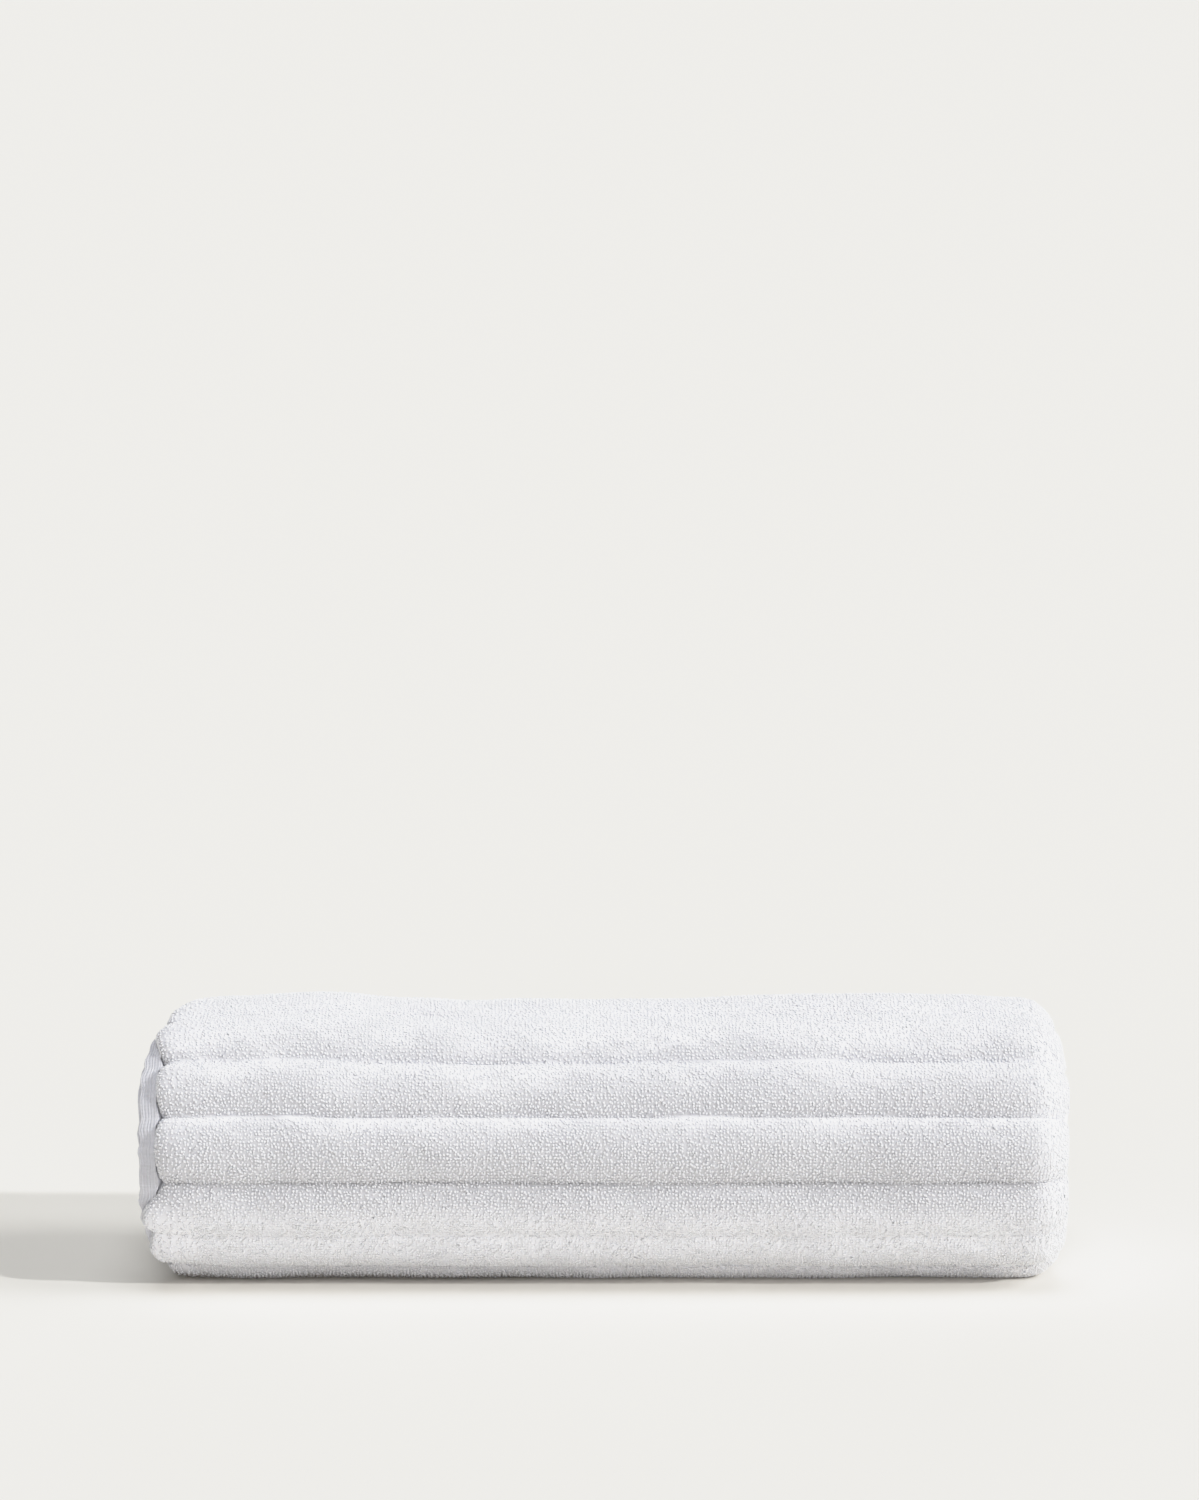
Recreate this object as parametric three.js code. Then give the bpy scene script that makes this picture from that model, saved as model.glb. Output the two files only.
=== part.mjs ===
// A white terry bath towel with wide raised ribs, folded in half along its length and rolled up
// from one short side. It lies with the roll along X: the fold is at +X, the two woven side hems
// are at -X, the front is at -Y. The solid is the wound form: the ribbed outer turn with its flat
// end border, the low hem band, the domed ends with the turns showing, and the small flat spot
// that the roll rests on. Units are millimetres, +Z is up, the origin is under the middle of it.
import * as THREE from "three";

// Driving sizes
const TOWEL_WIDTH = 700;
const PLY = 3.25; // one thickness of terry, pile included
const OUTER_RADIUS = 57.7; // at the free end, to the crown of the ribs
const FLAT_SAG = 3.6; // how far the roll settles under its own weight
const RIB_HEIGHT = 3;
const BORDER_DROP = 2.6; // the end border is woven flat, so it lies lower than the pile
const END_TURNS = 7; // turns that show as ridges on each end

const ROLL_LENGTH = TOWEL_WIDTH / 2;
const TURN = 2 * PLY; // a turn of the roll is two thicknesses

// Angles about the roll's axis are in degrees: 0 faces the front, 90 up, 180 the back.
// The cloth runs from its free end, low at the back, up over the top, down the front and under.
const FREE_END_ANGLE = 240;
const DOWN_ANGLE = -90;
const LEAN_ANGLE = 102; // the ends lean in most here and opposite

// One turn of the outside, from the free end on: the flat border, then ribs as uneven as worn
// cloth. The last rib runs on under the free end.
const SECTIONS = [
  { name: "border", span: 33.7, steps: 5 },
  { name: "rib", span: 27.2, steps: 6 },
  { name: "rib", span: 25.8, steps: 6 },
  { name: "rib", span: 26.9, steps: 6 },
  { name: "rib", span: 25.6, steps: 6 },
  { name: "rib", span: 27.0, steps: 6 },
  { name: "rib", span: 26.5, steps: 6 },
  { name: "rib", span: 24.9, steps: 6 },
  { name: "rib", span: 29.1, steps: 6 },
  { name: "rib", span: 25.2, steps: 6 },
  { name: "rib", span: 26.9, steps: 6 },
  { name: "rib", span: 26.1, steps: 6 },
  { name: "rib", span: 26.5, steps: 6 },
  { name: "tucked rib", span: 8.6, steps: 2 },
];
const TUCKED_RIB_SPAN = 26.5; // the whole width of the rib that the free end covers

// Rings along the roll. at: distance from the nearer end, at the front; drop: how far the cloth
// lies inside the full radius; rib: share of the rib height; swell: loose cloth over the top.
const LEFT_RINGS = [
  { at: 0.8, drop: 6.6, rib: 0, swell: 0 },
  { at: 2.2, drop: 5.5, rib: 0.1, swell: 0 },
  { at: 8.6, drop: 4.4, rib: 0.2, swell: 0 },
  { at: 9.6, drop: 1.9, rib: 0.7, swell: 0 },
  { at: 12.5, drop: 0.9, rib: 0.9, swell: 0 },
  { at: 19, drop: 0, rib: 1, swell: 0.3 },
];
const MIDDLE_RINGS = [
  { at: 44, swell: 1.4 },
  { at: 68, swell: 2.4 },
  { at: 92, swell: 1.8 },
  { at: 124, swell: -0.8 },
  { at: 175, swell: -0.3 },
  { at: 214, swell: 0.1 },
  { at: 250, swell: 1.2 },
  { at: 310, swell: 1.3 },
];
const RIGHT_RINGS = [
  { at: 14, drop: 0, rib: 1, swell: 0 },
  { at: 8, drop: 1.2, rib: 1, swell: 0 },
  { at: 4.6, drop: 3.4, rib: 0.9, swell: 0 },
  { at: 2.2, drop: 6, rib: 0.7, swell: 0 },
];

// The two ends. groove and crest: how far in from the end's plane the line between two turns and
// the ridge of a turn lie; lean: how far the end lies in at the top and the bottom; topLean: how
// much more at the top; droop: how far the loose cloth sinks at the top of the end.
const LEFT_END = {
  side: -1,
  groove: 2.2,
  crest: 0,
  recess: 3,
  lean: 6.4,
  topLean: 4.2,
  droop: 2.8,
};
const RIGHT_END = {
  side: 1,
  groove: 2.8,
  crest: 0,
  recess: 4,
  lean: 3.6,
  topLean: 1.9,
  droop: 0.8,
};
const LEAN_POWER = 4;
const LEAN_REACH = 48; // how far along the roll the lean of an end carries
const DROOP_REACH = 30;

const TOWEL_WHITE = 0xf1f0f2;

const radians = THREE.MathUtils.degToRad;

// The spiral of the cloth, round: its outer radius after so many turns from the free end.
function coilRadius(turns) {
  return OUTER_RADIUS - TURN * turns;
}

const CENTRE_HEIGHT = coilRadius((FREE_END_ANGLE - DOWN_ANGLE) / 360) - FLAT_SAG;

// The radius at an angle of a turn that lies so far inside the round spiral. The flat spot cuts
// the outer turn off at the surface that the roll rests on, and each inner turn a little higher.
function pressedRadius(angle, turns, inside) {
  const radius = coilRadius(turns) - inside;
  const low = -Math.sin(radians(angle));
  if (low <= 0) return radius;
  const reach = CENTRE_HEIGHT * Math.min(1, coilRadius(turns) / coilRadius(1));
  return Math.min(radius, reach / low);
}

// Height of the pile at a share of the way over a rib, with a sharp groove at each side.
function ribHeight(share) {
  return RIB_HEIGHT * Math.pow(4 * share * (1 - share), 0.75);
}

// The ribs are pressed out where the roll rests.
function ribsFree(angle) {
  const away = Math.abs(angle - DOWN_ANGLE);
  return THREE.MathUtils.smoothstep(away, 20, 34);
}

// The points of one turn: each has its angle and how far it lies below the crowns of the ribs.
function outlinePoints() {
  const points = [];
  let angle = FREE_END_ANGLE;
  for (const section of SECTIONS) {
    const whole = section.name === "tucked rib" ? TUCKED_RIB_SPAN : section.span;
    for (let i = 0; i < section.steps; i++) {
      const passed = (section.span * i) / section.steps;
      const here = angle - passed;
      const height = section.name === "border" ? RIB_HEIGHT : ribHeight(passed / whole);
      const border = section.name === "border" ? BORDER_DROP : 0;
      points.push({ angle: here, below: (RIB_HEIGHT - height) * ribsFree(here) + border });
    }
    angle -= section.span;
  }
  const covered = ribHeight(SECTIONS.at(-1).span / TUCKED_RIB_SPAN);
  points.push({ angle, below: RIB_HEIGHT - covered });
  return points;
}

const OUTLINE = outlinePoints();
const STEPS = OUTLINE.length - 1;

function place(x, angle, radius) {
  const a = radians(angle);
  return [x, -radius * Math.cos(a), CENTRE_HEIGHT + radius * Math.sin(a)];
}

// How much an angle belongs to the top of the leaning ends, from 1 there to -1 at the bottom.
function topShare(angle) {
  return Math.cos(radians(angle - LEAN_ANGLE));
}

function lean(end, angle) {
  const top = topShare(angle);
  return (end.lean + end.topLean * Math.max(0, top)) * Math.pow(Math.abs(top), LEAN_POWER);
}

function droop(end, angle, at) {
  const near = 1 - Math.min(1, at / DROOP_REACH);
  return end.droop * Math.pow(Math.max(0, topShare(angle)), 2) * near * near;
}

// A ring of the outside at a distance from an end, leaning and drooping with that end.
function ring(end, { at, drop = 0, rib = 1, swell = 0 }) {
  const share = Math.pow(1 - Math.min(1, at / LEAN_REACH), 1.2);
  return OUTLINE.map(({ angle, below }) => {
    const up = Math.max(0, Math.sin(radians(angle)));
    const turns = (FREE_END_ANGLE - angle) / 360;
    const inside = below * rib + drop + droop(end, angle, at) - swell * up * up;
    const radius = pressedRadius(angle, turns, inside);
    return place(end.side * (ROLL_LENGTH / 2 - at - lean(end, angle) * share), angle, radius);
  });
}

// All rings of the outside, from the hems at -X to the fold at +X.
function outsideRings() {
  return [
    ...LEFT_RINGS.map((row) => ring(LEFT_END, row)),
    ...MIDDLE_RINGS.map((row) => ring(LEFT_END, row)),
    ...RIGHT_RINGS.map((row) => ring(RIGHT_END, row)),
  ];
}

// A point on an end, so many steps along the spiral from the free end and so far in from the
// outer edge of its turn. The ridges are a little uneven from turn to turn.
function endPoint(end, outerDrop, step, share, inFromPlane) {
  const turns = step / STEPS;
  const { angle } = OUTLINE[step % STEPS];
  const sunk = droop(end, angle, 0) * Math.max(0, 1 - turns / 3);
  const radius = pressedRadius(angle, turns, outerDrop + sunk + share * TURN);
  const middle = 1 - radius / OUTER_RADIUS;
  const uneven = 0.7 * Math.sin(2.3 * turns + 1) + 0.5 * Math.sin(radians(angle) * 3 + turns);
  const inward = inFromPlane + end.recess * middle * middle + uneven * Math.min(1, 2 * middle);
  const leaning = lean(end, angle) * Math.min(1, radius / (0.75 * OUTER_RADIUS));
  const x = end.side * (ROLL_LENGTH / 2 - inward - leaning);
  return place(x, angle, radius);
}

// Collects points and triangles; flip turns a triangle round, so that it faces out.
class Surface {
  constructor() {
    this.positions = [];
    this.triangles = [];
  }
  point(p) {
    this.positions.push(...p);
    return this.positions.length / 3 - 1;
  }
  triangle(a, b, c, flip = false) {
    this.triangles.push(...(flip ? [a, c, b] : [a, b, c]));
  }
  quad(a, b, c, d, flip = false) {
    this.triangle(a, b, c, flip);
    this.triangle(a, c, d, flip);
  }
  mesh(name, material) {
    const geometry = new THREE.BufferGeometry();
    geometry.setAttribute("position", new THREE.Float32BufferAttribute(this.positions, 3));
    geometry.setIndex(this.triangles);
    geometry.computeVertexNormals();
    const mesh = new THREE.Mesh(geometry, material);
    mesh.name = name;
    return mesh;
  }
}

// The outside: each ring runs from the free end round to just under it, and closes with the step
// down from the free end to the turn below.
function addOutside(surface, rings) {
  const ids = rings.map((points) => points.map((p) => surface.point(p)));
  for (let r = 0; r + 1 < ids.length; r++) {
    for (let i = 0; i <= STEPS; i++) {
      const next = (i + 1) % (STEPS + 1);
      surface.quad(ids[r][i], ids[r + 1][i], ids[r + 1][next], ids[r][next], true);
    }
  }
  return ids;
}

// One end: a ridge for each turn, following the spiral inwards to a small core.
function addEnd(surface, end, edge, outerDrop) {
  const flip = end.side > 0;
  const grooves = [...edge];
  const steps = END_TURNS * STEPS;
  for (let step = STEPS + 1; step <= steps + STEPS; step++) {
    grooves.push(surface.point(endPoint(end, outerDrop, step, 0, end.groove)));
  }
  const crests = [];
  for (let step = 0; step <= steps; step++) {
    crests.push(surface.point(endPoint(end, outerDrop, step, 0.5, end.crest)));
  }
  for (let step = 0; step < steps; step++) {
    surface.quad(grooves[step], crests[step], crests[step + 1], grooves[step + 1], flip);
    const inner = step + STEPS;
    surface.quad(crests[step], grooves[inner], grooves[inner + 1], crests[step + 1], flip);
  }
  surface.triangle(grooves[0], grooves[STEPS], crests[0], flip);
  const core = surface.point(place(end.side * (ROLL_LENGTH / 2 - end.recess - 3), 0, 0));
  for (let step = steps; step < steps + STEPS; step++) {
    surface.triangle(grooves[step], core, grooves[step + 1], flip);
  }
  surface.triangle(grooves[steps + STEPS], core, crests[steps], flip);
  surface.triangle(crests[steps], core, grooves[steps], flip);
}

function towelRoll() {
  const surface = new Surface();
  const ids = addOutside(surface, outsideRings());
  addEnd(surface, LEFT_END, ids[0], LEFT_RINGS[0].drop);
  addEnd(surface, RIGHT_END, ids.at(-1), RIGHT_RINGS.at(-1).drop);
  const terry = new THREE.MeshStandardMaterial({
    color: TOWEL_WHITE,
    roughness: 0.95,
    metalness: 0,
  });
  const mesh = surface.mesh("towel_roll", terry);
  mesh.geometry.computeBoundingBox();
  const box = mesh.geometry.boundingBox;
  const middle = box.getCenter(new THREE.Vector3());
  mesh.position.set(-middle.x, -middle.y, -box.min.z);
  return mesh;
}

const group = new THREE.Group();
group.add(towelRoll());

export default group;
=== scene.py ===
"""A rolled bath towel: one sheet of white ribbed terry, folded in half along its length and wound
up from one short side, lying on a pale floor. The cloth is a closed double layer that follows the
real spiral, with woven side hems at -X and the fold at +X. The pile stands on it as small loops.
"""

import math

import bmesh
import bpy
import numpy as np
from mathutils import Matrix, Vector


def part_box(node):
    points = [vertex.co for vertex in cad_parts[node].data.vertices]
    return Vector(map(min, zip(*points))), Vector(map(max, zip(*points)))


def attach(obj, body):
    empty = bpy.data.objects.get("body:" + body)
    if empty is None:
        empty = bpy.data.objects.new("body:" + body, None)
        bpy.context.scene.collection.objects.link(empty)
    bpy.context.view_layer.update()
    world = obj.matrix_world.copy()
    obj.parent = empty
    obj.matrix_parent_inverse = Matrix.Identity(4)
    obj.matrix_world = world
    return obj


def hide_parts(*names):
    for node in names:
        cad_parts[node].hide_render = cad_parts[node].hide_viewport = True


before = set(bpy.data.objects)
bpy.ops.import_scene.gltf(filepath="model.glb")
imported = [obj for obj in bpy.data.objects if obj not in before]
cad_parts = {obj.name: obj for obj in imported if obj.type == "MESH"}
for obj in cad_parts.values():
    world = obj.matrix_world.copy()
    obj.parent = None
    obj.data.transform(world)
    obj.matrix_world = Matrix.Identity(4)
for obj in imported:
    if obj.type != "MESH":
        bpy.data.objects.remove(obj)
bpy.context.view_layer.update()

MM = 0.001

# The towel, laid flat
TOWEL_WIDTH = 0.700
TOWEL_LENGTH = 1.400
PLY = 3.25 * MM  # one thickness of terry, pile included
PILE = 0.6 * MM  # height of the pile on each face
GROOVE_DEPTH = 4.2 * MM  # of the grooves between ribs
GROOVE_SHARPNESS = 0.85  # 1 gives parabolic ribs, less gives flatter ones with tighter grooves
RIB_PITCH = 24.6 * MM
BORDER_DROP = 2.6 * MM  # the end border is woven flat, lower than the pile
END_HEM_WIDTH = 12 * MM
END_HEM_RISE = 0.5 * MM

# The roll
OUTER_RADIUS = 58.2 * MM  # at the free end, to the crown of the ribs
FLAT_SAG = 2.4 * MM
TURN = 2 * PLY
ROLL_LENGTH = TOWEL_WIDTH / 2
FREE_END_ANGLE = 240.0  # degrees round from the front, up over the top to the back
DOWN_ANGLE = -90.0
LEAN_ANGLE = 102.0

# Degrees of the outer turn that the border and each rib take up
BORDER_SPAN = 33.7
RIB_SPANS = [27.2, 25.8, 26.9, 25.6, 27.0, 26.5, 24.9, 29.1, 25.2, 26.9, 26.1, 26.5, 26.5]


def coil(turns):
    """Outer radius of the spiral after so many turns from the free end."""
    return OUTER_RADIUS - TURN * turns


CENTRE_HEIGHT = coil((FREE_END_ANGLE - DOWN_ANGLE) / 360) - FLAT_SAG


def cloth_length(turns):
    """Length of cloth in so many turns, along the middle of the double layer."""
    return 2 * math.pi * ((OUTER_RADIUS - PLY) * turns - TURN * turns**2 / 2)


def whole_turns():
    """How many turns take up the towel's whole length."""
    middle = OUTER_RADIUS - PLY
    return (middle - math.sqrt(middle**2 - 2 * TURN * TOWEL_LENGTH / (2 * math.pi))) / TURN


TURNS = whole_turns()


def angle_of(turns):
    """Radians round the roll from the front, up over the top."""
    return np.radians(FREE_END_ANGLE - 360 * turns)


def from_down(turns):
    """Degrees round the roll from straight down, on either side."""
    angle = np.abs(np.degrees(angle_of(turns)) % 360 - 270)
    return np.minimum(angle, 360 - angle)


def pressed_radius(turns, inside):
    """Radius of a point so far inside its turn, cut off where the roll rests."""
    radius = coil(turns) - inside
    low = -np.sin(angle_of(turns))
    reach = CENTRE_HEIGHT * np.minimum(1, coil(turns) / coil(1))
    return np.where(low > 0.1, np.minimum(radius, reach / np.maximum(low, 0.1)), radius)


def smooth(x, low, high):
    """Rises softly from 0 at low to 1 at high."""
    share = np.clip((x - low) / (high - low), 0, 1)
    return share * share * (3 - 2 * share)


def waves(u, v, size, seed, count=9):
    """Smooth noise of about -1 to 1 over two lengths, as a sum of seeded waves of one size."""
    rng = np.random.default_rng(seed)
    turn = rng.uniform(0, 2 * np.pi, count)
    rate = 2 * np.pi / size * rng.uniform(0.6, 1.4, count)
    phase = rng.uniform(0, 2 * np.pi, count)
    total = 0.0
    for a, k, p in zip(turn, rate, phase):
        total = total + np.cos(k * (u * np.cos(a) + v * np.sin(a)) + p)
    return total / math.sqrt(count / 2) / 1.6


def groove_turns():
    """Where the grooves between ribs lie, in turns from the free end."""
    grooves = [BORDER_SPAN / 360]
    for span in RIB_SPANS:
        grooves.append(grooves[-1] + span / 360)
    while grooves[-1] < TURNS:
        grooves.append(grooves[-1] + RIB_PITCH / (2 * math.pi * max(coil(grooves[-1]), 4 * MM)))
    return np.array(grooves)


GROOVES = groove_turns()

# The ribs hang a little: degrees round the roll from the front, and where across a rib, from its
# upper groove, its crest lies
CREST_ANGLE = [-60, -20, -8, 5, 35, 90]
CREST = [0.5, 0.58, 0.56, 0.43, 0.38, 0.5]
CREST_WANDER = 0.04  # how far the crest wavers, as a share of the rib
CREST_WANDER_SIZE = 32 * MM
GROOVE_WANDER = 0.28 * MM
GROOVE_WANDER_SIZE = 70 * MM
INNER_GROOVES = 0.4  # how deep the grooves are inside the roll, as a share

# How deep the grooves are, as shares, by degrees round the roll from straight down: pressed out
# where the roll rests, deep beside that, faint on the lower front and on top
GROOVE_FROM_DOWN = [0, 14, 31, 45, 58, 72, 84, 112, 137, 152, 164, 180]
GROOVE_SHARE = [0.0, 0.2, 1.0, 0.7, 0.45, 0.8, 1.1, 1.0, 0.9, 0.6, 0.4, 0.4]


def rib_bulge(turns, x=0.0):
    """Height of the rib at this place, from 0 in a groove to 1 on its crest."""
    around = turns * 2 * np.pi * OUTER_RADIUS
    wander = GROOVE_WANDER * waves(x, around, GROOVE_WANDER_SIZE, 6)
    at = np.maximum(turns, GROOVES[0] + 1e-9) + wander / (2 * np.pi * OUTER_RADIUS)
    index = np.clip(np.searchsorted(GROOVES, at, side="right") - 1, 0, len(GROOVES) - 2)
    share = np.clip((at - GROOVES[index]) / (GROOVES[index + 1] - GROOVES[index]), 1e-6, 1 - 1e-6)
    crest = np.interp(np.degrees(angle_of(turns)), CREST_ANGLE, CREST)
    crest = crest + CREST_WANDER * waves(x, around, CREST_WANDER_SIZE, 5)
    share = share ** (math.log(0.5) / np.log(crest))
    bulge = (4 * share * (1 - share)) ** GROOVE_SHARPNESS
    return np.where(turns < GROOVES[0], 0, bulge)


def below_crown(turns, x=0.0):
    """How far the pile lies below the crowns of the ribs: the grooves, and the flat border."""
    depth = GROOVE_DEPTH * (1 - rib_bulge(turns, x))
    depth = depth * np.interp(from_down(turns), GROOVE_FROM_DOWN, GROOVE_SHARE)
    ribs = depth * (1 - (1 - INNER_GROOVES) * smooth(turns, 1.0, 1.3))
    from_end = cloth_length(turns)
    hem = END_HEM_RISE * (1 - smooth(from_end, END_HEM_WIDTH - MM, END_HEM_WIDTH))
    return np.where(turns < GROOVES[0], BORDER_DROP - hem, ribs)


# The loose cloth over the top of the roll: distance from the left end, and how far it stands up
SWELL_AT = np.array([0, 23, 35, 51, 68, 80, 91, 113, 125, 136, 158, 203, 237, 256, 316, 328]) * MM
SWELL = np.array([0, -0.3, 0.4, 1.5, 2.5, 1.9, -0.2, -0.3, -2, -1, -1, -0.7, 0.7, 1.5, 1.5, 0]) * MM
SWELL_FADE = 0.35  # how fast it dies away from turn to turn
ROLLING = 0.35 * MM  # slow unevenness of the whole surface
ROLLING_SIZE = 60 * MM

# The ends lean inwards at the top and at the bottom, and the left one droops at the top
LEFT_LEAN, LEFT_TOP_LEAN = 5.8 * MM, 4.4 * MM
RIGHT_LEAN, RIGHT_TOP_LEAN = 1.2 * MM, 4.4 * MM
LEAN_POWER = 4
LEFT_FOOT, RIGHT_FOOT = 5.6 * MM, 1.2 * MM  # more lean where the roll turns under
FOOT_POWER = 12
LEAN_REACH = 48 * MM  # how far along the roll the lean of an end carries
LEAN_EASE = 1.2
LEFT_HOLLOW, RIGHT_HOLLOW = 3 * MM, 4 * MM  # how far the middle of an end lies inwards
UNEVEN_EDGE, UNEVEN_SWAY = 0.7 * MM, 0.5 * MM  # of the edges of the turns at the ends
TOP_DROOP = 3.4 * MM
DROOP_REACH = 30 * MM

# The side hem at the left end
OVERHANG = 3.3 * MM  # how far the ribs reach over it
COVER = 9.2 * MM  # how far the terry rolls over it at the bottom
TOP_COVER = 0.75  # and at the top, as a share of that
COVER_DEPTH = 3.2 * MM
HEM_TURN_IN, HEM_TURN_REACH = 2.0 * MM, 6.5 * MM  # its edge leans towards the axis
HEM_WAVER = 0.45 * MM
HEM_WAVER_SIZE, HEM_WAVER_REACH = 11 * MM, 9 * MM

FOLD_PINCH = 1.5 * MM  # the grooves draw the fold in at the right end
FOLD_PINCH_REACH = 22 * MM


def left_droop(angle, x, radius):
    """How far the loose left end sinks at the top of the roll."""
    top = np.maximum(np.cos(angle - math.radians(LEAN_ANGLE)), 0) ** 2
    end = (1 - np.minimum(1, x / DROOP_REACH)) ** 2
    return TOP_DROOP * top * end * smooth(radius, 0.25 * OUTER_RADIUS, OUTER_RADIUS)


def end_shift(angle, x, radius, turns):
    """How far the lean and the unevenness of the ends move a point along the roll."""
    inner = 1 - radius / OUTER_RADIUS
    uneven = UNEVEN_EDGE * np.sin(2.3 * turns + 1) + UNEVEN_SWAY * np.sin(3 * angle + turns)
    uneven = uneven * np.minimum(1, 0.3 + 2 * inner)
    near = np.minimum(1, radius / (0.75 * OUTER_RADIUS))
    apex = np.cos(angle - math.radians(LEAN_ANGLE))
    lift = np.maximum(apex, 0)
    foot = np.maximum(-apex, 0) ** FOOT_POWER
    steep = np.abs(apex) ** LEAN_POWER
    left_lean = (LEFT_LEAN + LEFT_TOP_LEAN * lift) * steep + LEFT_FOOT * foot
    right_lean = (RIGHT_LEAN + RIGHT_TOP_LEAN * lift) * steep + RIGHT_FOOT * foot
    left = (1 - np.minimum(1, x / LEAN_REACH)) ** LEAN_EASE
    right = (1 - np.minimum(1, (ROLL_LENGTH - x) / LEAN_REACH)) ** LEAN_EASE
    left_shift = left * (left_lean * near + LEFT_HOLLOW * inner**2 + uneven)
    right_shift = right * (right_lean * near + RIGHT_HOLLOW * inner**2 + uneven)
    return left_shift - right_shift


def hem_cover(turns):
    """Share of its reach by which the terry rolls over the side hem."""
    around = turns * 2 * np.pi * OUTER_RADIUS
    height = np.sin(angle_of(turns)) + 0.05 * waves(0.0, around, 30 * MM, 8)
    return np.maximum(smooth(-height, 0.0, 0.5), TOP_COVER * smooth(height, 0.7, 1.0))


def hem_depth(turns, x, inside, overhang):
    """How much the side hem turns in, and the crevice beside it closes where terry covers it."""
    turned_in = HEM_TURN_IN * np.maximum(0, 1 - x / HEM_TURN_REACH)
    closed = 0.8 * hem_cover(turns) * overhang * np.maximum(inside - COVER_DEPTH, 0)
    return turned_in * (1 - overhang) - closed


def edge_shift(turns, x):
    """How far the hem wavers, and the grooves draw the fold in, along the roll."""
    around = turns * 2 * np.pi * OUTER_RADIUS
    near_hem = np.maximum(0, 1 - x / HEM_WAVER_REACH)
    waver = HEM_WAVER * waves(0.0, around, HEM_WAVER_SIZE, 7, 5) * near_hem
    near_fold = smooth(x, ROLL_LENGTH - FOLD_PINCH_REACH, ROLL_LENGTH - 2 * MM)
    grooves = (1 - rib_bulge(turns, x)) * smooth(from_down(turns), 45, 88)
    return waver - FOLD_PINCH * near_fold * grooves**2


def place(turns, x, inside, rib, overhang=0.0):
    """Points on the roll. turns: along the cloth from its free end; x: distance from the left
    end; inside: depth below the crowns of the outer face of this turn; rib: share of the ribs'
    height that shows here; overhang: share of their reach over the side hem."""
    turns, x, inside, rib, overhang = np.broadcast_arrays(turns, x, inside, rib, overhang)
    angle = angle_of(turns)
    depth = inside + hem_depth(turns, x, inside, overhang)
    x = x - overhang * (OVERHANG * rib_bulge(turns) + (COVER - OVERHANG) * hem_cover(turns))
    top = np.maximum(np.sin(angle), 0) ** 2 * np.exp(-turns.clip(0) * SWELL_FADE)
    swell = sum(np.interp(x + by * MM, SWELL_AT, SWELL) for by in (-6, -2, 2, 6)) / 4 * top
    rolling = ROLLING * waves(x, turns * 2 * np.pi * OUTER_RADIUS, ROLLING_SIZE, 3)
    depth = depth + rib * below_crown(turns, x) - swell - rolling
    radius = pressed_radius(turns, depth)
    radius = radius - left_droop(angle, x, radius)
    points = np.empty(turns.shape + (3,))
    shift = end_shift(angle, x, radius, turns) + edge_shift(turns, x)
    points[..., 0] = x + shift - ROLL_LENGTH / 2
    points[..., 1] = -radius * np.cos(angle)
    points[..., 2] = CENTRE_HEIGHT + radius * np.sin(angle)
    return points


def axis_shift():
    """From the roll's own axis to the frame: the middle of the box at the widest turn."""
    low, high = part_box("towel_roll")
    turn = np.linspace(0, 1, 721)
    y = place(turn, ROLL_LENGTH / 2, 0.0, 1.0)[:, 1]
    return np.array([(low[0] + high[0]) / 2, (low[1] + high[1] - y.min() - y.max()) / 2, low[2]])


SHIFT = axis_shift()


# The outer face of a turn without its pile at the left end, in millimetres and shares: distance
# from the hem's edge, depth inside the crowns, share of the rib height, share of the overhang.
# First the folded edge of the hem, then its woven band, its seam with the crevice, and the terry.
HEM_EDGE = [[0.0, 6.3, 0.0, 0.0], [0.2, 5.5, 0.0, 0.0], [0.6, 5.1, 0.0, 0.0]]
HEM_CORDS = 5  # raised lines of the woven band, between its edge and its seam
HEM_CORD_PITCH = 1.2
HEM_CORD_RISE = 0.3
HEM_SEAM = [
    [7.4, 5.0, 0.2, 0.3],
    [8.2, 5.8, 0.3, 0.6],
    [9.0, 7.2, 0.4, 0.9],
    [9.5, 7.8, 0.5, 1.0],
    [9.9, 7.6, 0.5, 1.0],
    [10.1, 5.6, 0.6, 1.0],
    [10.3, 3.8, 0.7, 1.0],
    [10.8, 2.6, 0.8, 1.0],
    [11.6, 1.8, 0.9, 0.95],
    [13.0, 1.2, 1.0, 0.8],
    [15.2, 0.8, 1.0, 0.5],
    [18.0, 0.65, 1.0, 0.25],
    [22.0, 0.6, 1.0, 0.0],
]


def woven_band():
    """The band between the hem's edge and its seam: cords as raised lines along it."""
    across = np.linspace(0, HEM_CORDS, 4 * HEM_CORDS + 1)
    rise = HEM_CORD_RISE * np.sin(np.pi * across) ** 2
    rib = 0.2 * across / HEM_CORDS
    at = HEM_EDGE[-1][0] + 0.2 + HEM_CORD_PITCH * across
    return np.column_stack([at, 5.3 - rise, rib, 0 * rib])


LEFT_FACE = np.concatenate([HEM_EDGE, woven_band(), HEM_SEAM]) * [MM, MM, 1, 1]
FACE_STEP = 7 * MM
HEM_WIDTH = 10.1 * MM  # from the hem's edge to the first loops

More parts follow.
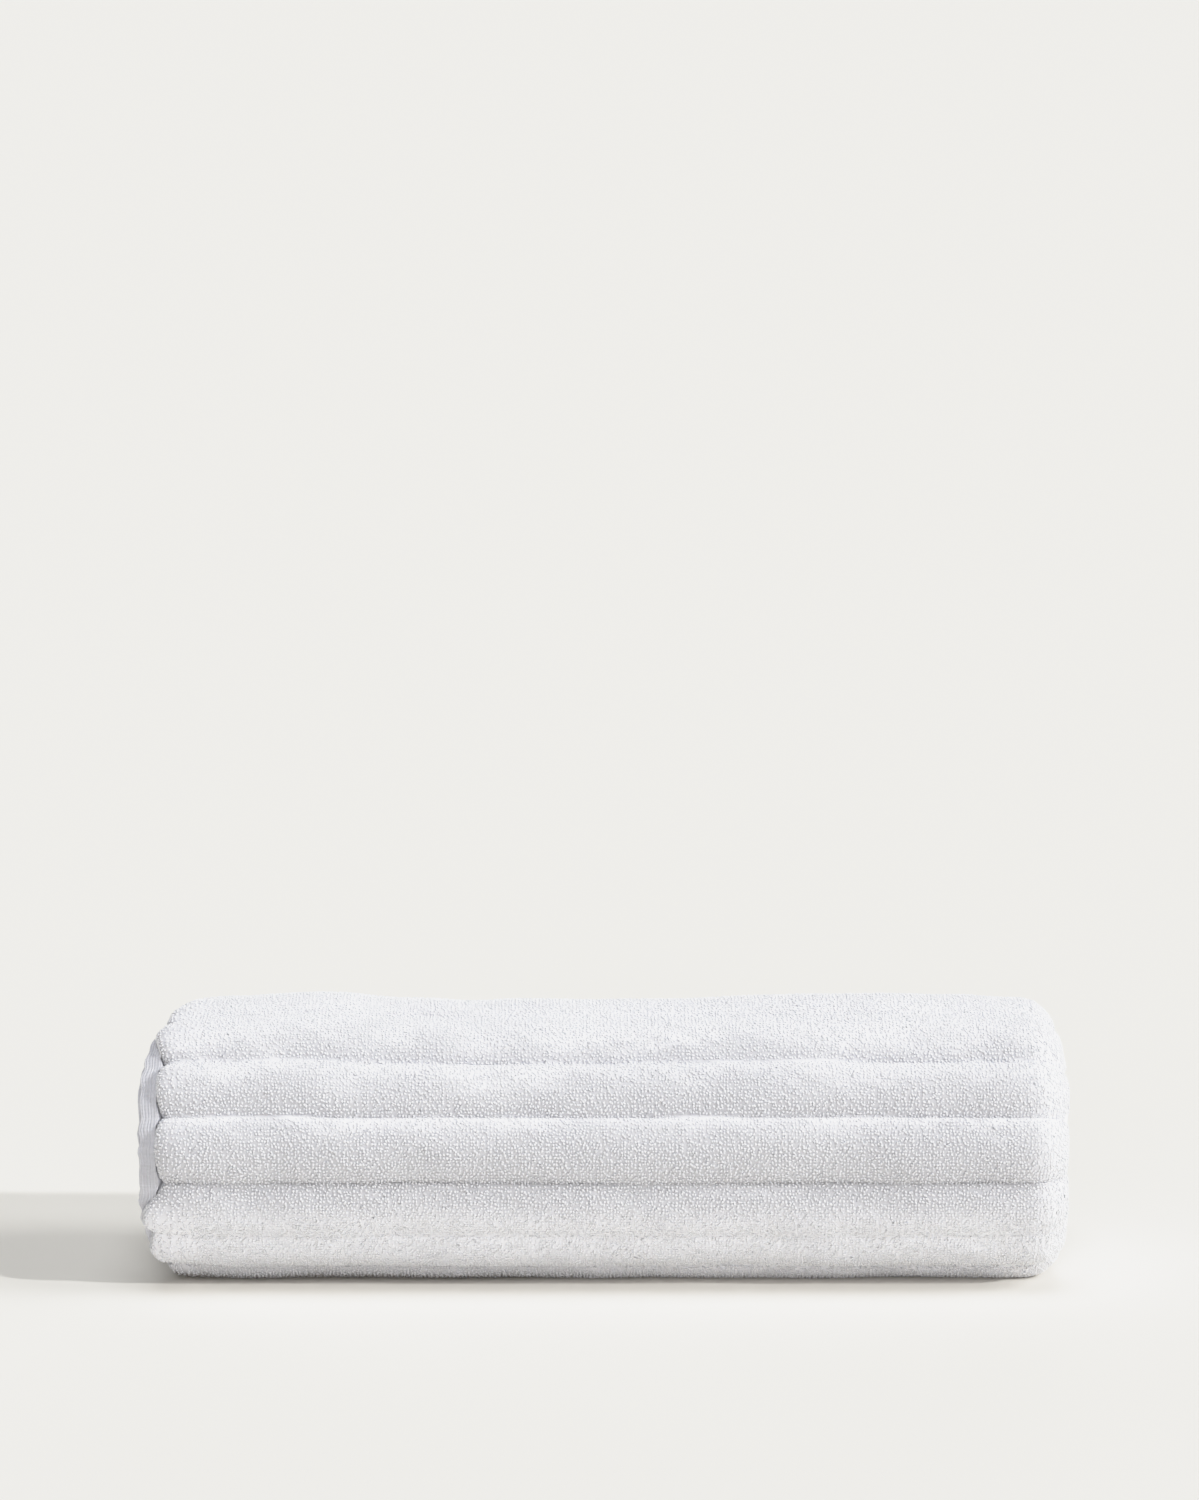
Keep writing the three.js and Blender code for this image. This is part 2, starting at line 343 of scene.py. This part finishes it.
# The hem's other faces: the underside of the outer layer's hem, and the inner layer's hem, in
# millimetres from the hem's edge and inside the crowns, with the share of the rib height
OUTER_HEM_UNDER = [
    [13.5, 3.6, 0.5],
    [12.2, 4.6, 0.5],
    [10.9, 7.0, 0.5],
    [9.7, 8.4, 0.45],
    [8.3, 7.6, 0.3],
    [5.0, 6.9, 0.1],
    [1.5, 6.8, 0.0],
    [0.4, 6.9, 0.0],
]
INNER_HEM = [
    [13.5, 5.9, 0.5],
    [12.2, 7.2, 0.5],
    [10.9, 9.1, 0.45],
    [9.5, 9.9, 0.4],
    [5.0, 9.0, 0.1],
    [1.5, 8.8, 0.1],
    [0.6, 8.7, 0.1],
    [0.2, 8.1, 0.1],
    [0.6, 7.6, 0.1],
    [1.5, 7.5, 0.1],
    [5.0, 7.6, 0.1],
    [8.3, 8.2, 0.35],
    [9.7, 8.9, 0.4],
    [10.9, 7.5, 0.45],
    [12.2, 5.1, 0.5],
    [13.5, 4.1, 0.5],
]

# How the middle of the double layer drops towards the axis near the fold: distance from the
# right end and depth
FOLD_AT = np.array([0, 2.2, 4.6, 8, 14]) * MM
FOLD_DEPTH = np.array([9.4, 8.7, 6.65, 4.4, 3.25]) * MM
LAYER_GAP = 0.2 * MM  # half the gap between the two layers


def fold_middle(at):
    return np.interp(at, FOLD_AT, FOLD_DEPTH)


def bead(half, tip, count, start=0.0, stop=np.pi):
    """The rounded fold: from the outer face round to the inner one. half: half its thickness."""
    round_by = np.linspace(start, stop, count)
    at = tip + half * (1 - np.sin(round_by))
    depth = fold_middle(at) - half * np.cos(round_by)
    return np.column_stack([ROLL_LENGTH - at, depth, np.full(count, 0.8), np.zeros(count)])


def along_roll(offset, count, start, stop, rib):
    """A face along the roll at an offset from the middle of the double layer, from x to x."""
    x = np.linspace(start, stop, count)
    depth = fold_middle(ROLL_LENGTH - x) + offset
    return np.column_stack([x, depth, np.full(count, rib), np.zeros(count)])


def outer_face():
    """The face that the pile stands on, hem edge to the inner side of the fold."""
    half = PLY - PILE
    start = LEFT_FACE[-1, 0] + FACE_STEP
    bend = ROLL_LENGTH - FOLD_AT[-1]
    count = int((bend - start) / FACE_STEP)
    middle = along_roll(-half, count, start, bend - FACE_STEP, 1.0)
    end = along_roll(-half, 6, bend, ROLL_LENGTH - PILE - half, 1.0)
    return np.concatenate([LEFT_FACE, middle, end[:-1], bead(half, PILE, 11)])


def hem_points(table):
    return np.column_stack([np.array(table) * [MM, MM, 1], np.zeros(len(table))])


def section():
    """The closed section of the double layer across the roll: outer face, fold, inner face, the
    hem of the inner layer, the two faces between the layers, the underside of the outer hem."""
    half = PLY - PILE
    bend = ROLL_LENGTH - PILE - half
    return np.concatenate([
        outer_face(),
        along_roll(half, 22, bend, FOLD_AT[-1], 0.5)[1:],
        hem_points(INNER_HEM),
        along_roll(LAYER_GAP, 14, FOLD_AT[-1], bend, 0.5),
        bead(LAYER_GAP, PILE + half - LAYER_GAP, 3, np.pi, 0.0),
        along_roll(-LAYER_GAP, 14, bend, FOLD_AT[-1], 0.5),
        hem_points(OUTER_HEM_UNDER),
    ])


OUTER_FACE = outer_face()
FACE_LENGTHS = np.concatenate(
    [[0], np.cumsum(np.hypot(*np.diff(OUTER_FACE[:, :2], axis=0).T))]
)
PILE_START = float(np.interp(HEM_WIDTH, LEFT_FACE[:, 0], FACE_LENGTHS[: len(LEFT_FACE)]))


def on_face(turns, across):
    """Points of the bare outer face at a distance across it from the hem's edge."""
    columns = [np.interp(across, FACE_LENGTHS, column) for column in OUTER_FACE.T]
    return place(turns, *columns) + SHIFT


def make_mesh(name, points, faces, materials, smooth_shading=True):
    mesh = bpy.data.meshes.new(name)
    mesh.vertices.add(len(points))
    mesh.vertices.foreach_set("co", points.astype(np.float32).ravel())
    corners = faces.shape[1]
    mesh.loops.add(faces.size)
    mesh.loops.foreach_set("vertex_index", faces.astype(np.int32).ravel())
    mesh.polygons.add(len(faces))
    mesh.polygons.foreach_set("loop_start", np.arange(0, faces.size, corners, dtype=np.int32))
    mesh.polygons.foreach_set("use_smooth", np.full(len(faces), smooth_shading))
    mesh.update(calc_edges=True)
    for material in materials:
        mesh.materials.append(material)
    made = bpy.data.objects.new(name, mesh)
    bpy.context.collection.objects.link(made)
    return made


def set_cloth_place(mesh, across, along, level):
    """Keeps each point's place on the flat towel, in metres, for the woven patterns, and its
    level in the pile, which sets the painted shade: 1 at the heads of the loops, 0 among the roots
    of open pile, and below 0 in the gap where the roll rests."""
    place_on_towel = mesh.attributes.new("towel_place", "FLOAT_VECTOR", "POINT")
    values = np.column_stack([across, along, level])
    place_on_towel.data.foreach_set("vector", values.astype(np.float32).ravel())


# How far the pile stands open, by how much its face looks up: closed on the tops of the ribs,
# open on their flanks. Open pile is painted darker towards its roots, as painted shade. By degrees
# from straight down it is pressed flatter on the lower front, and in the gap where the roll rests
# it is set past 1, which only paints a dark shade there.
FACES_UP = [-1.0, -0.4, 0.1, 0.5, 0.75, 0.92]
OPEN_PILE = [0.8, 0.82, 0.88, 0.8, 0.42, 0.22]
OPEN_FROM_DOWN = [0, 19, 22, 27, 50, 58, 66, 76, 180]
OPEN_SHARE = [2.5, 2.5, 1.7, 0.65, 0.35, 0.2, 0.3, 1.0, 1.0]


# Patches where the pile was stroked flat or open: how strong they are, their size and their seed
STROKED = [(0.12, 75 * MM, 21), (0.14, 20 * MM, 22), (0.16, 7 * MM, 23)]
FLATTENED = 0.6  # share by which the lowest rib's pile lies flatter, with less painted shade, on the right half
FLATTENED_TO = 31  # degrees from straight down
CLOSED_FOLD = 0.8  # share by which the pile lies flatter on the fold
PARTED = 0.3  # how much the pile parts, with painted shade in the parting, along the groove at the middle of the front


def open_pile(out, turns, x):
    """How far the pile stands open at these faces. out: directions out of them."""
    around = turns * 2 * np.pi * OUTER_RADIUS
    low = from_down(turns)
    patches = sum(strength * waves(x, around, size, seed) for strength, size, seed in STROKED)
    opened = np.interp(out[:, 2] + patches, FACES_UP, OPEN_PILE)
    under = np.interp(low, OPEN_FROM_DOWN, OPEN_SHARE)
    flattened = smooth(x, 0.35 * ROLL_LENGTH, 0.6 * ROLL_LENGTH) * (low < FLATTENED_TO)
    near_fold = smooth(x, ROLL_LENGTH - 16 * MM, ROLL_LENGTH - 7 * MM)
    opened = opened * under * (1 - FLATTENED * flattened) * (1 - CLOSED_FOLD * near_fold)
    parted = smooth(low, 62, 76) * (1 - smooth(low, 92, 104))
    return (opened + PARTED * parted * (1 - rib_bulge(turns, x)) ** 3).clip(0, 2)


def grid_faces(rows, columns):
    """Quads of a grid that is closed across its columns."""
    row = np.arange(rows - 1)[:, None] * columns
    column = np.arange(columns)[None, :]
    following = (column + 1) % columns
    quads = np.stack(
        [row + column, row + columns + column, row + columns + following, row + following], axis=2
    )
    return quads.reshape(-1, 4)


OUTER_STEPS, INNER_STEPS = 168, 60  # steps in one turn
CLOTH_SHADE_SHARE = 0.9  # painted shade of the bare cloth under open pile, as a share of the way to the roots' colour


def cloth_steps():
    """Turns at which the section is set out: close on the outer turn, wider inside."""
    end_hem = (END_HEM_WIDTH + np.array([-1.2, -0.6, 0, 0.6]) * MM) / (2 * np.pi * OUTER_RADIUS)
    free_end = [0, 0.001, 0.003]
    outer = np.arange(0, 1.08, 1 / OUTER_STEPS)
    inner = np.arange(outer[-1] + 1 / 90, TURNS, 1 / INNER_STEPS)
    steps = [free_end, end_hem, outer, GROOVES[: len(RIB_SPANS) + 1], inner, [TURNS]]
    return np.unique(np.concatenate(steps))


def towel_cloth(terry, woven):
    """The cloth without its pile: terry, with the woven hem and end border."""
    profile = section()
    steps = cloth_steps()
    count = len(profile)
    points = place(steps[:, None], *(column[None, :] for column in profile.T))
    quads = grid_faces(len(steps), count)
    cloth = make_mesh("towel_cloth", (points + SHIFT).reshape(-1, 3), quads, [terry, woven])
    across = np.tile(profile[:, 0], len(steps))
    normals = np.empty(3 * len(cloth.data.vertices), dtype=np.float32)
    cloth.data.vertex_normals.foreach_get("vector", normals)
    opened = open_pile(normals.reshape(-1, 3), np.repeat(steps, count), across)
    along = np.repeat(cloth_length(steps), count)
    # Painted shade: the bare cloth under open pile is darkened towards the roots' colour.
    set_cloth_place(cloth.data, across, along, 1 - CLOTH_SHADE_SHARE * opened)
    border = steps[:-1, None] < GROOVES[0] - 1e-6
    flat = (profile[:, 0] < HEM_WIDTH)[None, :] | border
    flat[:, len(LEFT_FACE) : len(OUTER_FACE)] = border
    cloth.data.polygons.foreach_set("material_index", flat.astype(np.int32).ravel())
    close_ends(cloth, count, len(steps))
    return cloth


def close_ends(cloth, count, rows):
    """Closes the cloth at its free end and at its inner end."""
    work = bmesh.new()
    work.from_mesh(cloth.data)
    work.verts.ensure_lookup_table()
    for first in (0, (rows - 1) * count):
        cap = work.faces.new([work.verts[first + i] for i in range(count)])
        cap.material_index = 1
    bmesh.ops.recalc_face_normals(work, faces=work.faces)
    work.to_mesh(cloth.data)
    work.free()


# The loops of the pile
LOOP_PITCH = 1.28 * MM
EDGE_PITCH = 0.7 * MM  # of the loops that hang over the side hem
LOOP_JITTER = 0.22  # of the pitch
LOOP_LENGTH = 1.65 * MM
LOOP_WIDTH = 1.0 * MM
LOOP_SWING = 25  # degrees that the loops turn from straight down towards the right
SWING_PATCHES = 25  # and how much that changes from place to place, and from loop to loop
SWING_SPREAD, EDGE_SWING_SPREAD = 32, 40
LENGTH_SPREAD, WIDTH_SPREAD = 0.2, 0.15  # as shares
LOOP_SHADE_LEVELS = np.array([0.0, 0.4, 0.4, 1.0, 0.0, 0.85])  # levels in the pile of a loop's six points, which set its painted shade from root to head
FLOOR_GAP = 0.05 * MM


def loop_grid(rng, start_turn, stop_turn, start_across, stop_across, pitch=LOOP_PITCH):
    """Places of loops in rows along the roll and columns round it, slightly out of line."""
    rows = []
    turn = start_turn
    while turn < stop_turn:
        rows.append(turn)
        turn += pitch / (2 * math.pi * max(coil(turn), 3 * MM))
    across = np.arange(start_across, stop_across, pitch)
    turns, places = np.meshgrid(np.array(rows), across, indexing="ij")
    turns, places = turns.ravel(), places.ravel()
    one_loop = pitch / (2 * np.pi * coil(turns).clip(3 * MM))
    turns = turns + rng.normal(0, LOOP_JITTER, turns.size) * one_loop
    places = places + rng.normal(0, LOOP_JITTER, places.size) * pitch
    return turns, places


def face_axes(turns, across):
    """Points of the bare face, with the directions out of it, round the roll and along it."""
    step = 0.4 * MM
    around = step / (2 * np.pi * coil(turns).clip(3 * MM))
    here = on_face(turns, across)
    down = on_face(turns + around, across) - on_face(turns - around, across)
    along = on_face(turns, across + step) - on_face(turns, across - step)
    down /= np.linalg.norm(down, axis=1, keepdims=True).clip(1e-9)
    along /= np.linalg.norm(along, axis=1, keepdims=True).clip(1e-9)
    out = np.cross(along, -down)
    out /= np.linalg.norm(out, axis=1, keepdims=True).clip(1e-9)
    return here, out, down, along


# A loop of pile as a small curved grain of six points: tail, its two sides, crown, root and head,
# each as shares of the loop's length ahead, its width to the side and its height
LOOP_POINTS = np.array([
    [-0.5, 0.0, -0.3],
    [0.0, -0.5, 0.2],
    [0.0, 0.5, 0.2],
    [0.05, 0.0, 1.0],
    [0.0, 0.0, -0.6],
    [0.5, 0.0, 0.3],
])
LOOP_FACES = np.array([
    [5, 2, 3], [2, 0, 3], [0, 1, 3], [1, 5, 3], [2, 5, 4], [0, 2, 4], [1, 0, 4], [5, 1, 4],
])


def loop_points(here, out, toward, length, width, height):
    """The points of each loop. length, width and height have one value for each loop."""
    side = np.cross(out, toward)
    ahead, across, up = (axis[:, None, :] for axis in (toward, side, out))
    share = LOOP_POINTS[None, :, :]
    points = here[:, None, :] + share[..., 0:1] * length[:, None, None] * ahead
    points = points + share[..., 1:2] * width[:, None, None] * across
    return points + share[..., 2:3] * height[:, None, None] * up


def make_loops(name, turns, across, rng, material, over_edge=False):
    """One piece of pile, with a loop at each place. over_edge: they hang over the side hem."""
    here, out, down, along = face_axes(turns, across)
    count = len(turns)
    cloth_at = cloth_length(turns)
    patch = waves(across, cloth_at, 26 * MM, 11) + 0.6 * waves(across, cloth_at, 10 * MM, 12)
    swing = LOOP_SWING + SWING_PATCHES * patch + rng.normal(0, SWING_SPREAD, count)
    if over_edge:
        swing = -90 + rng.normal(0, EDGE_SWING_SPREAD, count)
    swing = np.radians(swing)
    toward = np.cos(swing)[:, None] * down + np.sin(swing)[:, None] * along
    opened = open_pile(out, turns, across)
    stands = opened.clip(0, 1)
    unruly = 0.05 + 0.17 * stands
    toward = toward + (unruly * rng.normal(0, 1, count))[:, None] * out
    toward /= np.linalg.norm(toward, axis=1, keepdims=True)
    height = PILE * (0.6 + 0.6 * stands + unruly * rng.normal(0, 1, count)).clip(0.3, 2.0)
    length = LOOP_LENGTH * (1.0 + LENGTH_SPREAD * rng.normal(0, 1, count)).clip(0.5, 1.5)
    width = LOOP_WIDTH * (1.0 + WIDTH_SPREAD * rng.normal(0, 1, count)).clip(0.5, 1.5)
    points = loop_points(here, out, toward, length, width, height)
    points[..., 2] = np.maximum(points[..., 2], SHIFT[2] + FLOOR_GAP)
    corners = len(LOOP_POINTS)
    faces = LOOP_FACES[None] + (np.arange(count) * corners)[:, None, None]
    loops = make_mesh(name, points.reshape(-1, 3), faces.reshape(-1, 3), [material])
    # Painted shade: open loops are darkened towards their roots.
    level = 1 - opened[:, None] * (1 - LOOP_SHADE_LEVELS) * rng.uniform(0.7, 1.2, count)[:, None]
    # Painted shade: past 1 open, in the gap where the roll rests, the level drops below 0 towards a
    # dark brown.
    level = level - (opened - 1).clip(0)[:, None]
    at = (np.repeat(across, corners), np.repeat(cloth_at, corners))
    set_cloth_place(loops.data, *at, level.clip(-1, 1).ravel())
    return loops


BANDS = 4  # pieces that the pile of the outer turn is made in
OUTER_PILE_END = 1.03  # in turns, just past where the next turn hides it
INNER_PILE_END = TURNS - 0.05


def towel_pile(material):
    """The loops: bands of the outer turn from the border on, the folds of the inner turns, and
    the edge of the terry along the side hem."""
    last = FACE_LENGTHS[-1]
    bands = np.linspace(GROOVES[0], OUTER_PILE_END, BANDS + 1)
    pieces = []
    for number in range(BANDS):
        rng = np.random.default_rng(40 + number)
        turns, across = loop_grid(rng, bands[number], bands[number + 1], PILE_START, last - 2 * MM)
        pieces.append(make_loops(f"pile_{number + 1}", turns, across, rng, material))
    rng = np.random.default_rng(50)
    turns, across = loop_grid(rng, OUTER_PILE_END, INNER_PILE_END, last - 9 * MM, last - 1.5 * MM)
    pieces.append(make_loops("pile_folds", turns, across, rng, material))
    rng = np.random.default_rng(51)
    edge = (PILE_START + 0.1 * MM, PILE_START + 1.5 * MM)
    turns, across = loop_grid(rng, GROOVES[0], INNER_PILE_END, *edge, EDGE_PITCH)
    pieces.append(make_loops("pile_edge", turns, across, rng, material, over_edge=True))
    return pieces


# The colours: the heads of the loops and the woven cotton vary between two each. The roots' colour
# and the dark brown are painted shade, and the woven tints are partly painted shade.
LOOP_HEADS = [(0.885, 0.888, 0.94), (0.925, 0.928, 0.975)]
# painted shade among the roots of open pile
PAINTED_ROOT_SHADE = (0.475, 0.475, 0.5)
PAINTED_CONTACT_SHADE = (0.2, 0.17, 0.13)  # painted shade in the gap where the roll rests
# the woven tints are a little greyer than the terry and painted darker still, as shade on the side
# hem
WOVEN_TINTS_WITH_SHADE = [(0.48, 0.485, 0.52), (0.6, 0.605, 0.65)]


def new_material(name):
    material = bpy.data.materials.new(name)
    material.use_nodes = True
    nodes, links = material.node_tree.nodes, material.node_tree.links
    nodes.clear()
    output = nodes.new("ShaderNodeOutputMaterial")
    shader = nodes.new("ShaderNodeBsdfPrincipled")
    links.new(shader.outputs["BSDF"], output.inputs["Surface"])
    return material, nodes, links, shader


def add_noise(nodes, links, coordinates, scale, detail):
    """Noise of so many grains to the metre."""
    noise = nodes.new("ShaderNodeTexNoise")
    noise.inputs["Scale"].default_value = scale
    noise.inputs["Detail"].default_value = detail
    links.new(coordinates, noise.inputs["Vector"])
    return noise.outputs["Fac"]


def add_mix(nodes, links, share, first, second):
    """Mixes a plain colour with one from another node, by a share from 0 to 1."""
    mix = nodes.new("ShaderNodeMix")
    mix.data_type = "RGBA"
    links.new(share, mix.inputs["Factor"])
    mix.inputs["A"].default_value = (*first, 1)
    links.new(second, mix.inputs["B"])
    return mix.outputs["Result"]


def add_place(nodes):
    """The point's place on the flat towel, with its level in the pile, which sets the painted
    shade.
    """
    place_node = nodes.new("ShaderNodeAttribute")
    place_node.attribute_name = "towel_place"
    return place_node.outputs["Vector"]


def add_tint(nodes, links, value, low, high):
    """A colour between two, by a value that is mostly near 0.5."""
    tint = nodes.new("ShaderNodeValToRGB")
    tint.color_ramp.elements[0].position = 0.3
    tint.color_ramp.elements[0].color = (*low, 1)
    tint.color_ramp.elements[1].position = 0.7
    tint.color_ramp.elements[1].color = (*high, 1)
    links.new(value, tint.inputs["Fac"])
    return tint.outputs["Color"]


def add_bump(nodes, links, height, strength, distance, before=None):
    bump = nodes.new("ShaderNodeBump")
    bump.inputs["Strength"].default_value = strength
    bump.inputs["Distance"].default_value = distance
    links.new(height, bump.inputs["Height"])
    if before is not None:
        links.new(before, bump.inputs["Normal"])
    return bump.outputs["Normal"]


def add_stripes(nodes, links, coordinates, direction, period):
    """Even soft stripes over the flat towel, with a period in metres."""
    wave = nodes.new("ShaderNodeTexWave")
    wave.wave_type = "BANDS"
    wave.bands_direction = direction
    wave.wave_profile = "SIN"
    wave.inputs["Scale"].default_value = 2 * math.pi / 20 / period
    links.new(coordinates, wave.inputs["Vector"])
    return wave.outputs["Fac"]


def make_cotton(shader):
    """What both weaves share: matt cotton that light sinks into."""
    shader.inputs["Roughness"].default_value = 0.9
    shader.inputs["Specular IOR Level"].default_value = 0.15
    shader.inputs["Sheen Weight"].default_value = 0.15
    shader.inputs["Sheen Roughness"].default_value = 0.5
    shader.inputs["Subsurface Weight"].default_value = 0.8
    shader.inputs["Subsurface Radius"].default_value = (1.0, 0.95, 0.9)
    shader.inputs["Subsurface Scale"].default_value = 1.2 * MM


def terry_material():
    """White cotton loops with painted shade among their roots and where the roll rests, and yarn
    fibres.
    """
    material, nodes, links, shader = new_material("white_terry")
    make_cotton(shader)
    at = nodes.new("ShaderNodeTexCoord").outputs["Object"]
    patches = add_noise(nodes, links, at, 45, 3)
    heads = add_tint(nodes, links, patches, *LOOP_HEADS)
    axes = nodes.new("ShaderNodeSeparateXYZ")
    links.new(add_place(nodes), axes.inputs["Vector"])
    level = axes.outputs["Z"]
    # Painted shade: the colour goes from the heads down to the roots' with the level in the pile.
    pile = add_mix(nodes, links, level, PAINTED_ROOT_SHADE, heads)
    # Painted shade: below level 0, in the gap where the roll rests, the colour goes to a dark
    # brown.
    depth = nodes.new("ShaderNodeMapRange")
    depth.inputs["From Min"].default_value = -1.0
    depth.inputs["From Max"].default_value = 0.0
    links.new(level, depth.inputs["Value"])
    colour = add_mix(nodes, links, depth.outputs["Result"], PAINTED_CONTACT_SHADE, pile)
    links.new(colour, shader.inputs["Base Color"])
    fibres = add_noise(nodes, links, at, 2600, 2)
    links.new(add_bump(nodes, links, fibres, 0.35, 0.3 * MM), shader.inputs["Normal"])
    return material


def woven_material():
    """The hems and the end border: a plain weave of fine cords, a little greyer than the pile, and
    darker still as painted shade.
    """
    material, nodes, links, shader = new_material("woven_cotton")
    make_cotton(shader)
    at = add_place(nodes)
    patches = add_noise(nodes, links, at, 160, 3)
    # The tint holds painted shade as well as the cotton's own tone.
    tint = add_tint(nodes, links, patches, *WOVEN_TINTS_WITH_SHADE)
    links.new(tint, shader.inputs["Base Color"])
    cords = add_stripes(nodes, links, at, "X", 0.85 * MM)
    ticks = add_stripes(nodes, links, at, "Y", 1.5 * MM)
    raised = add_bump(nodes, links, cords, 0.5, 0.15 * MM)
    raised = add_bump(nodes, links, ticks, 0.35, 0.15 * MM, raised)
    links.new(raised, shader.inputs["Normal"])
    return material


# The photograph's frame and the roll's place in it, in pixels
PHOTO_WIDTH, PHOTO_HEIGHT = 1199, 1500
ROLL_CENTRE_PX = (604.5, 1141)
ROLL_LENGTH_PX = 918
CAMERA_DISTANCE = 2.5
CAMERA_ELEVATION = math.radians(12.5)
SENSOR_HEIGHT = 36


def add_camera():
    """A camera in front of the roll and above it, that shows it where the photograph does."""
    data = bpy.data.cameras.new("camera")
    camera = bpy.data.objects.new("camera", data)
    bpy.context.collection.objects.link(camera)
    pixel = ROLL_LENGTH / ROLL_LENGTH_PX
    right = (ROLL_CENTRE_PX[0] - PHOTO_WIDTH / 2) * pixel
    below = (ROLL_CENTRE_PX[1] - PHOTO_HEIGHT / 2) * pixel
    drop = math.atan(below / CAMERA_DISTANCE)
    centre = Vector((SHIFT[0] - right, SHIFT[1], SHIFT[2] + CENTRE_HEIGHT))
    back = Vector((0, -math.cos(CAMERA_ELEVATION), math.sin(CAMERA_ELEVATION)))
    camera.location = centre + back * CAMERA_DISTANCE
    camera.rotation_euler = (math.pi / 2 - CAMERA_ELEVATION + drop, 0, 0)
    data.sensor_width = SENSOR_HEIGHT
    depth = CAMERA_DISTANCE * math.cos(drop)
    data.lens = SENSOR_HEIGHT * depth / (PHOTO_HEIGHT * pixel)
    data.clip_start, data.clip_end = 0.05, 100
    bpy.context.scene.camera = camera


# The lights: degrees round from the front towards the right, degrees up, strength and spread
KEY_LIGHT = (59.5, 27.3, 2.02, 2.5)
TOP_LIGHT = (0, 80, 1.15, 35)
SIDE_LIGHT = (80, 38, 1.12, 25)
FRONT_LIGHT = (0, 10, 1.26, 35)
BACK_LIGHT = (175, 4, 1.0, 20)
LEFT_LIGHT = (-120, 5, 0.6, 20)
COOL, WARM, PLAIN = (0.93, 0.955, 1.0), (1.0, 0.96, 0.94), (1.0, 1.0, 1.0)
WORLD_STRENGTH = 0.22
FLOOR_HALF = 20.0
FLOOR_COLOUR = (0.838, 0.815, 0.755)


def add_sun(name, colour, azimuth, elevation, strength, spread):
    data = bpy.data.lights.new(name, "SUN")
    data.color = colour
    data.energy = strength
    data.angle = math.radians(spread)
    light = bpy.data.objects.new(name, data)
    bpy.context.collection.objects.link(light)
    light.rotation_euler = (math.radians(90 - elevation), 0, math.radians(azimuth))


def add_lights():
    add_sun("key", PLAIN, *KEY_LIGHT)
    add_sun("top", COOL, *TOP_LIGHT)
    add_sun("side", PLAIN, *SIDE_LIGHT)
    add_sun("front", WARM, *FRONT_LIGHT)
    add_sun("back", PLAIN, *BACK_LIGHT)
    add_sun("left", PLAIN, *LEFT_LIGHT)
    world = bpy.data.worlds.new("studio")
    world.use_nodes = True
    background = world.node_tree.nodes["Background"]
    background.inputs["Color"].default_value = (1, 1, 1, 1)
    background.inputs["Strength"].default_value = WORLD_STRENGTH
    bpy.context.scene.world = world


def add_floor():
    material, _, _, shader = new_material("floor")
    shader.inputs["Roughness"].default_value = 1.0
    shader.inputs["Specular IOR Level"].default_value = 0.0
    shader.inputs["Base Color"].default_value = (*FLOOR_COLOUR, 1)
    corners = [[-1, -1, 0], [1, -1, 0], [1, 1, 0], [-1, 1, 0]]
    points = FLOOR_HALF * np.array(corners)
    floor = make_mesh("floor", points, np.array([[0, 1, 2, 3]]), [material], False)


# The tones roll off softly towards a ceiling, as in a photograph
TONE_CEILING = 0.94
TONE_KNEE = 6
TONE_RANGE = 2.0
TONE_STEPS = [0.3, 0.45, 0.6, 0.75, 0.9, 1.05, 1.25, 1.5]


def toned(light):
    """The brightness that so much light is shown with."""
    return light / (1 + (light / TONE_CEILING) ** TONE_KNEE) ** (1 / TONE_KNEE)


def set_view():
    """Shows light as it is, with the soft roll-off as a curve."""
    view = bpy.context.scene.view_settings
    view.view_transform = "Standard"
    view.look = "None"
    view.exposure = 0.0
    view.gamma = 1.0
    view.use_curve_mapping = True
    mapping = view.curve_mapping
    mapping.white_level = (TONE_RANGE, TONE_RANGE, TONE_RANGE)
    points = mapping.curves[3].points
    points[-1].location = (1.0, toned(TONE_RANGE))
    for light in TONE_STEPS:
        points.new(light / TONE_RANGE, toned(light))
    mapping.update()


def build():
    set_view()
    add_camera()
    add_lights()
    add_floor()
    terry = terry_material()
    woven = woven_material()
    cloth = towel_cloth(terry, woven)
    pile = towel_pile(terry)
    for piece in [cloth, *pile]:
        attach(piece, "root")
    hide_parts("towel_roll")


build()
